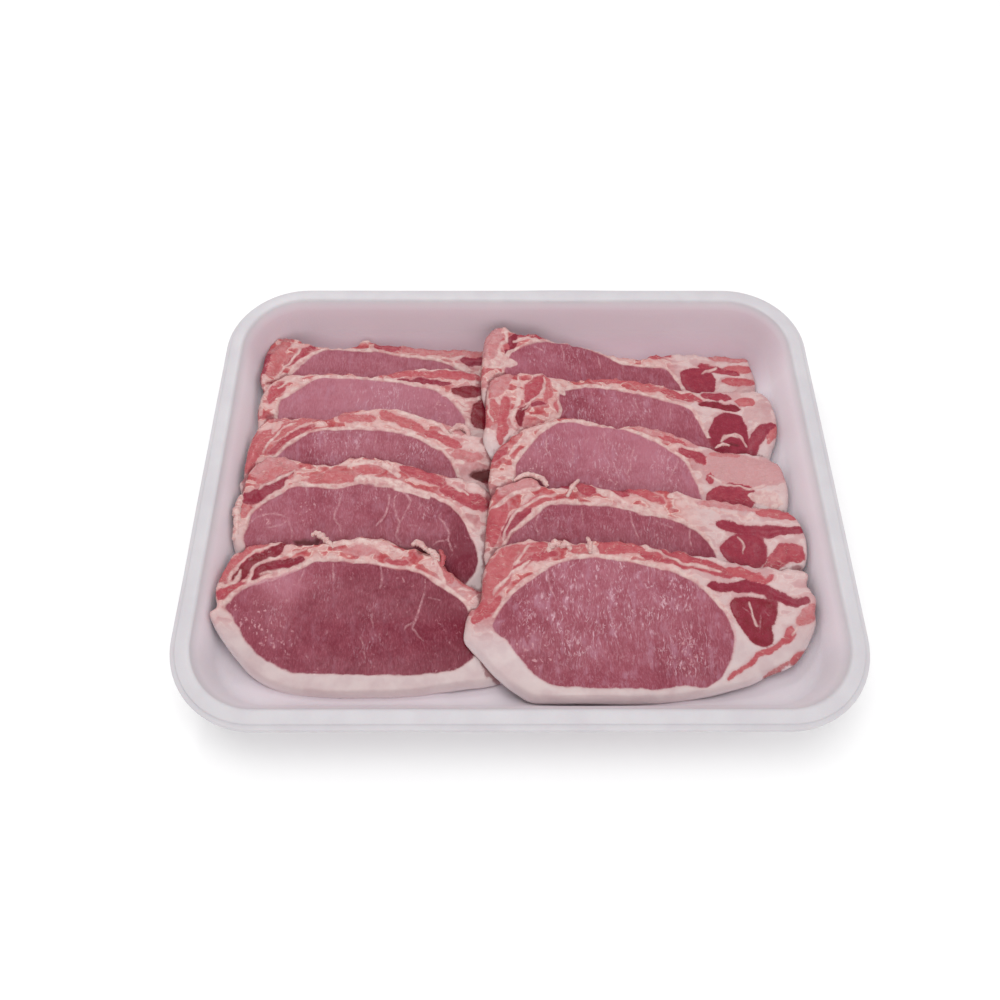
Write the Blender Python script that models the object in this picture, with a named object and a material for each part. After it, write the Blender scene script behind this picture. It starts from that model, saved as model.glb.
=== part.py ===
"""Meat tray pack: ten raw pork loin slices shingled in two columns in a white foam tray.

Frame: metres, X to the right, Y to the back, Z up, origin at the middle of the tray's base.
All the sizes below are in millimetres and turned into metres where a mesh is made.
"""
import math

import bmesh
import bpy
import numpy as np
from mathutils import Vector
from mathutils.geometry import delaunay_2d_cdt

MM = 0.001

# ---- the tray ------------------------------------------------------------------------
TRAY_LENGTH = 300.0
TRAY_WIDTH = 235.0
TRAY_HEIGHT = 30.0
TRAY_CORNER = 39.0          # radius of the outer lip at a corner
FOAM = 3.0                  # thickness of the foam everywhere
WALL_LEAN = math.radians(16.0)
FOOT_RADIUS = 14.0          # inner rounding between floor and wall
RIM_WIDTH = 9.0             # from the cavity's edge to the outer lip
RIM_ROUNDING = 2.0          # rounding of the rim's inner edge
RIM_FALL = 0.3              # how much lower the flat band's outer edge is than its inner one
BAND_END = 6.7              # where the flat band ends, from the cavity's edge
STEP_DEPTH = 1.2            # drop from the band to the outer lip
STEP_RUN = 0.5
LIP_HEIGHT = 4.0
LIP_BEVEL = 0.6
LIP_THICKNESS = 1.6
CORNER_STEPS = 7
FOOT_STEPS = 5
RIM_STEPS = 3

# ---- the slices ----------------------------------------------------------------------
SLICE_THICKNESS = 5.2       # across the eye muscle
END_THICKNESS = 3.2         # at the thin left and right ends
THIN_LEFT = 0.28            # share of its length over which a slice thins to its left end
THIN_RIGHT = 0.34           # and to its right end
EDGE_ROUNDING = 1.7         # how far the cut faces stop short of the outline
CLEARANCE = 0.5             # from a slice's underside to what it lies on
FACET_CLEARANCE = 0.35      # least clearance under the middle of a facet
WALL_CLEARANCE = 0.4        # sideways, from the tray's wall
SLACK = 0.018               # downward curvature of a slice's free span, 1/mm
OUTLINE_POINTS = 44
CURVE_STEPS = 20            # between two anchors of an outline
LATTICE = 10.5              # spacing of the points inside a slice
LATTICE_MARGIN = 4.7        # their least distance from the border of the cut face
GRID = 2.0                  # spacing of the height grid the slices settle on
SETTLE_ROUNDS = 500
CURL_REACH = 70.0           # how far from its end a slice's corner starts to rise

# A loin slice seen from above: how far along its length, and how far from the fat cap (0)
# to the rib side (1), counterclockwise from the left tip.
LOIN_OUTLINE = (
    (0.000, 0.44), (0.045, 0.26), (0.130, 0.10), (0.240, 0.02), (0.420, 0.00), (0.620, 0.015),
    (0.790, 0.09), (0.900, 0.21), (0.970, 0.40), (1.000, 0.68), (0.985, 0.93), (0.920, 1.00),
    (0.700, 1.00), (0.500, 1.00), (0.300, 1.00), (0.110, 0.99), (0.038, 0.87), (0.010, 0.64),
)

# Each slice in the order it was laid: its two ends, how far back its rib side reaches at
# five stations from left to right, how far forward its fat cap reaches at three, and how
# far its rear left corner stands up.
RIB_STATIONS = (0.10, 0.30, 0.50, 0.70, 0.93)
FAT_STATIONS = (0.15, 0.50, 0.85)
SLICES = {
    "slice_left_1": ((-135, 22), (98, 93, 97, 95, 94), (24, 21, 20), 6),
    "slice_left_2": ((-133, 20), (73, 74, 76, 79, 73), (-2, -4, -6), 0),
    "slice_left_3": ((-136, 18), (44, 46, 47, 36, 28), (-30, -32, -34), 0),
    "slice_left_4": ((-135, 20), (20, 14, 14, 7, 0), (-58, -62, -66), 0),
    "slice_left_5": ((-138, 18), (-27, -27, -28, -40, -58), (-97, -99, -97), 0),
    "slice_right_1": ((-18, 129), (101, 94, 91, 92, 92), (24, 20, 16), 13),
    "slice_right_2": ((-17, 134), (70, 67, 73, 65, 65), (-4, -8, -12), 0),
    "slice_right_3": ((-14, 134), (28, 38, 38, 29, 23), (-34, -40, -46), 0),
    "slice_right_4": ((-16, 136), (3, 2, 2, -2, -8), (-64, -69, -74), 0),
    "slice_right_5": ((-25, 136), (-29, -28, -27, -35, -41), (-105, -102, -96), 0),
}

FOAM_COLOUR = (0.80, 0.765, 0.79)
MEAT_COLOUR = (0.46, 0.155, 0.175)


def clear_scene():
    for thing in list(bpy.data.objects):
        bpy.data.objects.remove(thing)


def material(name, colour, roughness):
    new = bpy.data.materials.new(name)
    new.use_nodes = True
    shader = new.node_tree.nodes["Principled BSDF"]
    shader.inputs["Base Color"].default_value = (*colour, 1.0)
    shader.inputs["Roughness"].default_value = roughness
    shader.inputs["Metallic"].default_value = 0.0
    return new


def add_object(name, mesh_data, surface):
    """Link a bmesh, given in millimetres, as a named object in metres."""
    bmesh.ops.scale(mesh_data, vec=Vector((MM, MM, MM)), verts=mesh_data.verts)
    bmesh.ops.recalc_face_normals(mesh_data, faces=mesh_data.faces)
    mesh = bpy.data.meshes.new(name)
    mesh_data.to_mesh(mesh)
    mesh_data.free()
    mesh.shade_smooth()
    mesh.set_sharp_from_angle(angle=math.radians(40.0))
    mesh.materials.append(surface)
    thing = bpy.data.objects.new(name, mesh)
    bpy.context.scene.collection.objects.link(thing)
    return thing


# ---- tray ----------------------------------------------------------------------------
def wall_offset(height):
    """Offset of the cavity's wall from its top edge, negative inwards."""
    return -(TRAY_HEIGHT - height) * math.tan(WALL_LEAN)


def foot_centre():
    """Offset of the axis that the inner and the outer rounding of the foot share."""
    return (wall_offset(FOAM) + FOOT_RADIUS * math.tan(WALL_LEAN)
            - FOOT_RADIUS / math.cos(WALL_LEAN))


def foot_arc(radius):
    """From the flat up to the wall, round the foot's axis."""
    last = math.pi / 2 - WALL_LEAN
    turns = [last * step / FOOT_STEPS for step in range(FOOT_STEPS + 1)]
    axis_height = FOAM + FOOT_RADIUS
    return [(foot_centre() + radius * math.sin(turn), axis_height - radius * math.cos(turn))
            for turn in turns]


def rim_edge_arc():
    """The rim's rounded inner edge, from the wall over to the flat band."""
    centre = wall_offset(TRAY_HEIGHT) + RIM_ROUNDING / math.tan(math.pi / 4 + WALL_LEAN / 2)
    centre += RIM_ROUNDING * math.tan(WALL_LEAN)
    first = math.pi - WALL_LEAN
    turns = [first + (math.pi / 2 - first) * step / RIM_STEPS for step in range(RIM_STEPS + 1)]
    return [(centre + RIM_ROUNDING * math.cos(turn),
             TRAY_HEIGHT - RIM_ROUNDING + RIM_ROUNDING * math.sin(turn)) for turn in turns]


def tray_profile():
    """Offset and height round the foam's section, from the floor over the rim to the base."""
    band_edge = TRAY_HEIGHT - RIM_FALL
    lip_top = band_edge - STEP_DEPTH
    lip_bottom = lip_top - LIP_HEIGHT
    under_band = band_edge - FOAM
    below = under_band - RIM_ROUNDING
    skin = FOAM / math.cos(WALL_LEAN)
    rim = [
        (BAND_END, band_edge),
        (BAND_END + STEP_RUN, lip_top),
        (RIM_WIDTH - LIP_BEVEL, lip_top),
        (RIM_WIDTH, lip_top - LIP_BEVEL),
        (RIM_WIDTH, lip_bottom + LIP_BEVEL),
        (RIM_WIDTH - LIP_BEVEL, lip_bottom),
        (RIM_WIDTH - LIP_THICKNESS, lip_bottom),
        (RIM_WIDTH - LIP_THICKNESS - LIP_BEVEL, under_band - LIP_BEVEL),
        (skin + LIP_BEVEL, under_band),
        (wall_offset(below) + skin, below),
    ]
    return foot_arc(FOOT_RADIUS) + rim_edge_arc() + rim + foot_arc(FOOT_RADIUS + FOAM)[::-1]


def cavity_half_sizes():
    return TRAY_LENGTH / 2 - RIM_WIDTH, TRAY_WIDTH / 2 - RIM_WIDTH, TRAY_CORNER - RIM_WIDTH


def rounded_rectangle(offset):
    """Points of the cavity's edge moved out by an offset, counterclockwise."""
    half_x, half_y, radius = cavity_half_sizes()
    points = []
    for quarter, (side_x, side_y) in enumerate(((1, 1), (-1, 1), (-1, -1), (1, -1))):
        for step in range(CORNER_STEPS + 1):
            turn = (quarter + step / CORNER_STEPS) * math.pi / 2
            points.append((side_x * (half_x - radius) + (radius + offset) * math.cos(turn),
                           side_y * (half_y - radius) + (radius + offset) * math.sin(turn)))
    return points


def make_tray():
    mesh_data = bmesh.new()
    rings = []
    for offset, height in tray_profile():
        rings.append([mesh_data.verts.new((x, y, height)) for x, y in rounded_rectangle(offset)])
    mesh_data.faces.new(rings[0])
    mesh_data.faces.new(reversed(rings[-1]))
    count = len(rings[0])
    for ring, following in zip(rings, rings[1:]):
        for this in range(count):
            after = (this + 1) % count
            mesh_data.faces.new((ring[this], following[this], following[after], ring[after]))
    add_object("tray", mesh_data, material("foam", FOAM_COLOUR, 0.42))


# ---- slices --------------------------------------------------------------------------
def smooth_closed_curve(anchors, count):
    """Evenly spaced points on the closed Catmull-Rom curve through the anchors."""
    anchors = np.array(anchors)
    fine = []
    for index in range(len(anchors)):
        before, start, end, after = (anchors[(index + shift) % len(anchors)]
                                     for shift in (-1, 0, 1, 2))
        for t in np.linspace(0.0, 1.0, CURVE_STEPS, endpoint=False):
            fine.append(0.5 * (2 * start + (end - before) * t
                               + (2 * before - 5 * start + 4 * end - after) * t ** 2
                               + (3 * start - before - 3 * end + after) * t ** 3))
    fine = np.array(fine + fine[:1])
    lengths = np.r_[0.0, np.cumsum(np.hypot(*np.diff(fine, axis=0).T))]
    places = np.linspace(0.0, lengths[-1], count, endpoint=False)
    return np.c_[np.interp(places, lengths, fine[:, 0]), np.interp(places, lengths, fine[:, 1])]


def slice_outline(ends, rib_side, fat_cap):
    anchors = []
    for along, across in LOIN_OUTLINE:
        rear = np.interp(along, RIB_STATIONS, rib_side)
        front = np.interp(along, FAT_STATIONS, fat_cap)
        anchors.append((ends[0] + along * (ends[1] - ends[0]), front + across * (rear - front)))
    return smooth_closed_curve(anchors, OUTLINE_POINTS)


def inset(outline, distance):
    """The outline moved inwards along its own normals."""
    along = np.roll(outline, -1, axis=0) - np.roll(outline, 1, axis=0)
    along /= np.hypot(along[:, 0], along[:, 1])[:, None]
    return outline + distance * np.c_[-along[:, 1], along[:, 0]]


def inside(outline, x, y):
    """Which points lie inside the outline, by counting crossings."""
    result = np.zeros(np.shape(x), dtype=bool)
    for (x0, y0), (x1, y1) in zip(outline, np.roll(outline, -1, axis=0)):
        if y0 == y1:
            continue
        crosses = ((y0 > y) != (y1 > y)) & (x < x0 + (y - y0) * (x1 - x0) / (y1 - y0))
        result ^= crosses
    return result


def tray_surface(x, y):
    """Height of the tray's inner surface, its wall moved in by the wall clearance."""
    half_x, half_y, radius = cavity_half_sizes()
    past_x = np.abs(x) - (half_x - radius)
    past_y = np.abs(y) - (half_y - radius)
    corner = np.hypot(np.maximum(past_x, 0.0), np.maximum(past_y, 0.0))
    offset = np.minimum(np.maximum(past_x, past_y), 0.0) + corner - radius + WALL_CLEARANCE
    from_axis = np.clip(offset - foot_centre(), 0.0, FOOT_RADIUS * math.cos(WALL_LEAN))
    foot = FOAM + FOOT_RADIUS - np.sqrt(FOOT_RADIUS ** 2 - from_axis ** 2)
    wall = TRAY_HEIGHT + offset / math.tan(WALL_LEAN)
    return np.minimum(np.maximum(foot, wall), TRAY_HEIGHT)


def thickness(outline, x, y):
    """Full across the eye muscle, thinner towards both ends."""
    left, right = outline[:, 0].min(), outline[:, 0].max()
    along = np.clip((x - left) / (right - left), 0.0, 1.0)
    body = np.clip(np.minimum(along / THIN_LEFT, (1.0 - along) / THIN_RIGHT), 0.0, 1.0)
    body = body * body * (3.0 - 2.0 * body)
    return END_THICKNESS + (SLICE_THICKNESS - END_THICKNESS) * body


def spread(field, weight):
    """One pass of a 5 by 5 binomial blur that leaves out what has no weight."""
    kernel = np.array((1.0, 4.0, 6.0, 4.0, 1.0)) / 16.0
    pair = np.stack((field * weight, weight))
    for axis in (1, 2):
        padded = np.pad(pair, [(0, 0)] + [(2, 2) if side == axis else (0, 0) for side in (1, 2)])
        pair = sum(k * np.take(padded, range(shift, shift + pair.shape[axis]), axis=axis)
                   for shift, k in enumerate(kernel))
    return pair[0] / np.maximum(pair[1], 1e-9)


def settle(support, covered):
    """Rest a soft slice on its support: no lower anywhere, sagging a little in between."""
    weight = covered.astype(float)
    drop = SLACK * GRID ** 2 / 2
    height = support.copy()
    for _ in range(SETTLE_ROUNDS):
        height = np.where(covered, np.maximum(support, spread(height, weight) - drop), height)
    return height


def sample(field, grid_x, grid_y, points):
    """Bilinear value of a grid field at some points."""
    column = np.clip((points[:, 0] - grid_x[0]) / GRID, 0, len(grid_x) - 1.001)
    row = np.clip((points[:, 1] - grid_y[0]) / GRID, 0, len(grid_y) - 1.001)
    c, r = column.astype(int), row.astype(int)
    fc, fr = column - c, row - r
    return ((field[r, c] * (1 - fc) + field[r, c + 1] * fc) * (1 - fr)
            + (field[r + 1, c] * (1 - fc) + field[r + 1, c + 1] * fc) * fr)


def lattice_points(border):
    """Staggered rows of points that keep clear of the border."""
    room = inset(border, LATTICE_MARGIN)
    rise = LATTICE * math.sqrt(0.75)
    points = []
    for row in range(int(-TRAY_WIDTH / rise), int(TRAY_WIDTH / rise)):
        shift = LATTICE / 2 if row % 2 else 0.0
        for column in range(int(-TRAY_LENGTH / LATTICE), int(TRAY_LENGTH / LATTICE)):
            points.append((column * LATTICE + shift, row * rise))
    points = np.array(points)
    return points[inside(room, points[:, 0], points[:, 1])]


def grid_facets(points, triangles, grid_x, grid_y):
    """For each triangle, the grid nodes that lie in it and their barycentric weights."""
    facets = []
    for triangle in triangles:
        corners = points[triangle]
        (left, front), (right, rear) = corners.min(axis=0), corners.max(axis=0)
        columns = range(np.searchsorted(grid_x, left), np.searchsorted(grid_x, right, "right"))
        rows = range(np.searchsorted(grid_y, front), np.searchsorted(grid_y, rear, "right"))
        column, row = (side.ravel() for side in np.meshgrid(columns, rows))
        sides = (corners[1:] - corners[0]).T
        from_corner = np.vstack((grid_x[column], grid_y[row])) - corners[0][:, None]
        shares = np.linalg.solve(sides, from_corner)
        weights = np.vstack((1.0 - shares.sum(axis=0), shares))
        within = (weights > -1e-6).all(axis=0)
        facets.append((triangle, row[within], column[within], weights[:, within]))
    return facets


def raise_clear(low, facets, pile):
    """Lift the underside's corners wherever a facet would come too near the pile."""
    for triangle, row, column, weights in facets:
        short = pile[row, column] + FACET_CLEARANCE - low[triangle] @ weights
        if short.size:
            low[triangle] += max(short.max(), 0.0)
    return low


def make_slice(name, outline, height, pile, grid_x, grid_y):
    """One closed solid: two parallel cut faces and a rounded edge between them.

    The pile is raised to this slice's upper face, and a little past its outline.
    """
    border = inset(outline, EDGE_ROUNDING)
    flat = np.vstack((border, lattice_points(border)))
    count = len(border)
    ring = [(index, (index + 1) % count) for index in range(count)]
    _, _, faces, *_ = delaunay_2d_cdt([Vector(point) for point in flat], ring, [], 1, 1e-4)
    triangles = [list(face) for face in faces]
    facets = grid_facets(flat, triangles, grid_x, grid_y)
    low = raise_clear(sample(height, grid_x, grid_y, flat), facets, pile)
    high = low + thickness(outline, flat[:, 0], flat[:, 1])
    middle = (sample(height, grid_x, grid_y, outline)
              + 0.5 * thickness(outline, outline[:, 0], outline[:, 1]))
    middle = np.maximum(middle, 0.5 * (low + high)[:count])

    mesh_data = bmesh.new()
    top = [mesh_data.verts.new((x, y, z)) for (x, y), z in zip(flat, high)]
    bottom = [mesh_data.verts.new((x, y, z)) for (x, y), z in zip(flat, low)]
    edge = [mesh_data.verts.new((x, y, z)) for (x, y), z in zip(outline, middle)]
    for a, b, c in triangles:
        mesh_data.faces.new((top[a], top[b], top[c]))
        mesh_data.faces.new((bottom[c], bottom[b], bottom[a]))
    for this, after in ring:
        mesh_data.faces.new((top[this], edge[this], edge[after], top[after]))
        mesh_data.faces.new((edge[this], bottom[this], bottom[after], edge[after]))
    add_object(name, mesh_data, material(name + "_meat", MEAT_COLOUR, 0.35))

    around = np.vstack((flat, inset(outline, -GRID)))
    around_high = np.r_[high, high[:count]]
    skirt = [[this, after, len(flat) + this] for this, after in ring]
    skirt += [[after, len(flat) + after, len(flat) + this] for this, after in ring]
    for triangle, row, column, weights in grid_facets(around, triangles + skirt, grid_x, grid_y):
        pile[row, column] = np.maximum(pile[row, column], around_high[triangle] @ weights)


def make_slices():
    grid_x = np.arange(-TRAY_LENGTH / 2, TRAY_LENGTH / 2 + GRID, GRID)
    grid_y = np.arange(-TRAY_WIDTH / 2, TRAY_WIDTH / 2 + GRID, GRID)
    x, y = np.meshgrid(grid_x, grid_y)
    pile = tray_surface(x, y)
    for name, (ends, rib_side, fat_cap, curl) in SLICES.items():
        outline = slice_outline(ends, rib_side, fat_cap)
        covered = inside(inset(outline, -2 * GRID), x, y)
        leftwards = np.clip(1.0 - (x - ends[0]) / CURL_REACH, 0.0, 1.0)
        backwards = np.clip((y - fat_cap[0]) / (rib_side[0] - fat_cap[0]), 0.0, 1.0)
        height = settle(pile + CLEARANCE, covered) + curl * (leftwards * backwards) ** 2
        make_slice(name, outline, height, pile, grid_x, grid_y)


clear_scene()
make_tray()
make_slices()
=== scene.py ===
"""Looks of the meat tray pack: raw loin slices in a white foam tray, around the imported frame.

Plan positions on a slice are in millimetres from the low corner of its own box in the frame.
"""

import math

import bpy
import numpy as np
from mathutils import Matrix, Vector
from mathutils.bvhtree import BVHTree
from mathutils.geometry import delaunay_2d_cdt


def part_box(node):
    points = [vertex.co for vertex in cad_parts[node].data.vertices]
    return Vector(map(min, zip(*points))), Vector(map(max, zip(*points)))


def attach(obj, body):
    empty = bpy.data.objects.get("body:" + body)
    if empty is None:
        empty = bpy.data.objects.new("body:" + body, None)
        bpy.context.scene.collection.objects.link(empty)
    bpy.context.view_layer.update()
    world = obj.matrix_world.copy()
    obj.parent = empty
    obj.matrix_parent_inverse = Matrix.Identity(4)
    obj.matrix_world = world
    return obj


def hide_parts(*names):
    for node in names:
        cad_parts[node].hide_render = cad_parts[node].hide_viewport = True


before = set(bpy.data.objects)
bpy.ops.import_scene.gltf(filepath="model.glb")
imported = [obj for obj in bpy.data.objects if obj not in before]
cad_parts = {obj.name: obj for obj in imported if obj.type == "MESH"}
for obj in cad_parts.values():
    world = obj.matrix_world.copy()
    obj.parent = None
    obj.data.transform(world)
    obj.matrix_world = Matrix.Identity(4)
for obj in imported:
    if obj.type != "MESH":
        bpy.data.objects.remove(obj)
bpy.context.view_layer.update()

MM = 0.001

# ---- slices: mesh --------------------------------------------------------------------
BORDER_STEP = 0.8           # between the points of an outline
BORDER_RINGS = (0.25, 0.7, 1.3)     # insets of the rings that follow the outline
FINE = 0.72                 # between the points of a face that shows
COARSE = 3.2                # and of one that another slice covers, or that faces down
COVER_MARGIN = 5.0          # how far under the slice above a face counts as covered
EDGE_RADIUS = 2.4
CAP_RADIUS = 3.2            # the fat cap falls off more gently
CAP_FALL = 0.7              # and less steeply at its foot
ROUND_FALL = 0.5            # the fall that makes a quarter circle
UNDER_RADIUS = 0.5
FLOOR = 2.9                 # the lowest that meat hangs down, a little into the foam
FIELD_STEP = 1.0            # grid of the height fields
SEATING = 0.35              # how much closer a slice lies than its solid
REACH = 4.0                 # distances on a cut face are kept up to this
STRIP_SPREAD = 0.5          # how much wider the muscles of the rib side show than listed
SKIN_WIDTH = 1.5            # of the pale membrane along the rib side of the eye
SHADE_AND_JUICE_WIDTH = 1.7            # of the painted shade, with some pooled juice, where the next slice lies on a face
SIDE_BASE = 0.05            # height of a slice's side line, as a share of its thickness
WARP = 1.0                  # how far the borders of the tissues wander

# ---- tray, as built ------------------------------------------------------------------
TRAY_CORNER = 39.0
FOAM = 3.0
WALL_LEAN = math.radians(16.0)
FOOT_RADIUS = 14.0
RIM_WIDTH = 9.0
RIM_ROUNDING = 2.0
RIM_FALL = 0.3
BAND_END = 6.7
STEP_DEPTH = 1.2
LIP_HEIGHT = 4.0
LIP_THICKNESS = 1.6
CORNER_STEPS = 18           # points round a corner
SIDE_SPACING = 6.0          # and between those of a side

# ---- light and camera ----------------------------------------------------------------
FLOOR_REACH = 2.5           # metres, as all of this section
FLOOR_WHITE = (0.93, 0.93, 0.93)
WORLD_WHITE = (1.0, 1.0, 1.0, 1.0)
WORLD_STRENGTH = 0.7
# name, place, size and power of the square lamps, all aimed at the middle of the tray
LAMPS = (("softbox_top", (-0.1, 0.2, 1.15), 0.8, 4.8), ("softbox_front", (0.0, -1.1, 0.6), 0.9, 3.8),
         ("softbox_right", (1.0, -0.2, 0.8), 0.7, 1.5), ("glint_back", (-0.35, 0.75, 0.62), 0.15, 1.3))
CAMERA_PLACE = (-0.0102, -0.1932, 0.3709)
CAMERA_TURNS = (62.0, 0.487, 0.433)     # degrees: downwards, to the right, and about its axis
CAMERA_LENS = 29.84                     # millimetres, for a sensor 36 wide

# The front of a slice that the next one covers: shares of its length and depth.
HIDDEN_FRONT = ((0.985, 0.55), (0.955, 0.34), (0.90, 0.21), (0.79, 0.09), (0.62, 0.015),
                (0.42, 0.0), (0.24, 0.02), (0.13, 0.10), (0.045, 0.26))
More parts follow.
